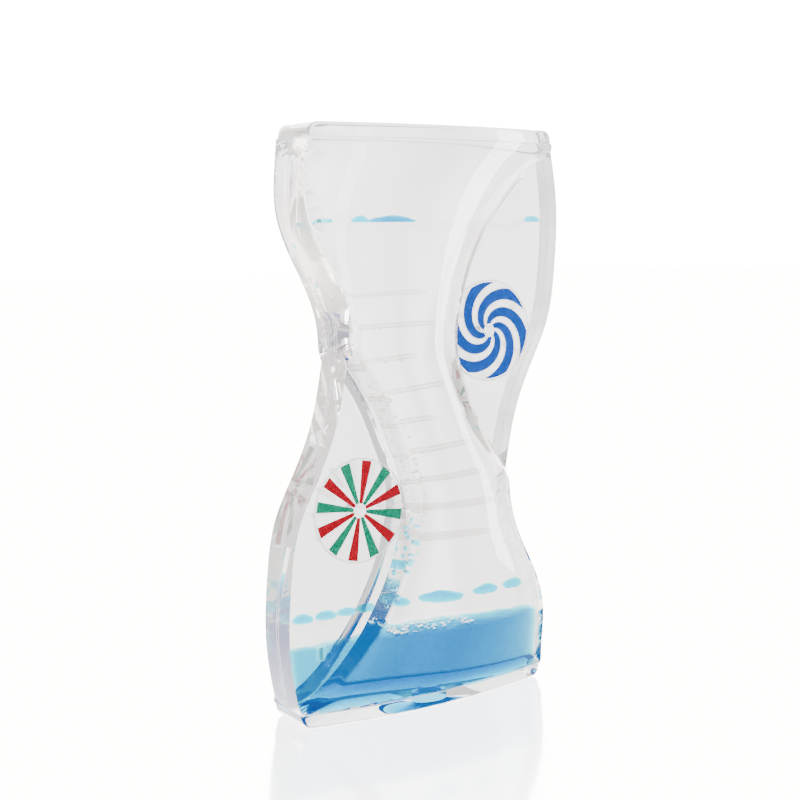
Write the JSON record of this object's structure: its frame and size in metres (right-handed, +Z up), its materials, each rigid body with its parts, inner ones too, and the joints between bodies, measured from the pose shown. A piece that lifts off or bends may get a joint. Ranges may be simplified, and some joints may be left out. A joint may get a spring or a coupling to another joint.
{
  "type": "liquid motion timer",
  "caption": "Clear hourglass-shaped desk timer, turned over to let dyed liquid drip past ledges and free-spinning wheels.",
  "frame": {"origin": "centre of the base plate's underside", "axes": "+Z up through the hourglass, +X to the right when facing its printed wheels, +Y from front to back"},
  "size_m": [0.0778, 0.0222, 0.135],
  "materials": {
    "clear_acrylic": "clear, polished",
    "clear_inner_acrylic": "clear, moulded",
    "clear_wheel_acrylic": "clear, moulded",
    "blue_print": "opaque printed ink",
    "red_print": "opaque printed ink",
    "green_print": "opaque printed ink",
    "blue_liquid": "clear dyed liquid",
    "cyan_liquid": "clear dyed liquid"
  },
  "bodies": {
    "housing": {"front_shell": "clear_acrylic", "rear_shell": "clear_acrylic", "top_plate": "clear_acrylic", "base_plate": "clear_acrylic", "filling_plug": "clear_acrylic", "lower_drip_plate": "clear_inner_acrylic", "upper_drip_plate": "clear_inner_acrylic", "right_divider": "clear_inner_acrylic", "left_divider": "clear_inner_acrylic", "cascade_ledge_1": "clear_inner_acrylic", "cascade_ledge_2": "clear_inner_acrylic", "cascade_ledge_3": "clear_inner_acrylic", "cascade_ledge_4": "clear_inner_acrylic", "cascade_ledge_5": "clear_inner_acrylic", "cascade_ledge_6": "clear_inner_acrylic", "cascade_ledge_7": "clear_inner_acrylic", "cascade_ledge_8": "clear_inner_acrylic", "cascade_ledge_9": "clear_inner_acrylic", "lower_window_nozzle": "clear_inner_acrylic", "lower_middle_nozzle": "clear_inner_acrylic", "upper_window_nozzle": "clear_inner_acrylic", "upper_middle_nozzle": "clear_inner_acrylic", "blue_wheel_pin": "clear_inner_acrylic", "striped_wheel_pin": "clear_inner_acrylic", "blue_pool": "blue_liquid", "resting_drops": "cyan_liquid", "upper_puddles": "cyan_liquid"},
    "blue_wheel": {"blue_wheel": "clear_wheel_acrylic", "blue_wheel_swirls": "blue_print"},
    "striped_wheel": {"striped_wheel": "clear_wheel_acrylic", "striped_wheel_red_stripes": "red_print", "striped_wheel_green_stripes": "green_print"}
  },
  "joints": [
    {"name": "blue_wheel_spin", "type": "hinge", "parent": "housing", "child": "blue_wheel", "pos_m": [0.01883, 0, 0.0873], "axis": [0, 1, 0], "continuous": true},
    {"name": "striped_wheel_spin", "type": "hinge", "parent": "housing", "child": "striped_wheel", "pos_m": [-0.01883, 0, 0.0477], "axis": [0, 1, 0], "continuous": true}
  ]
}
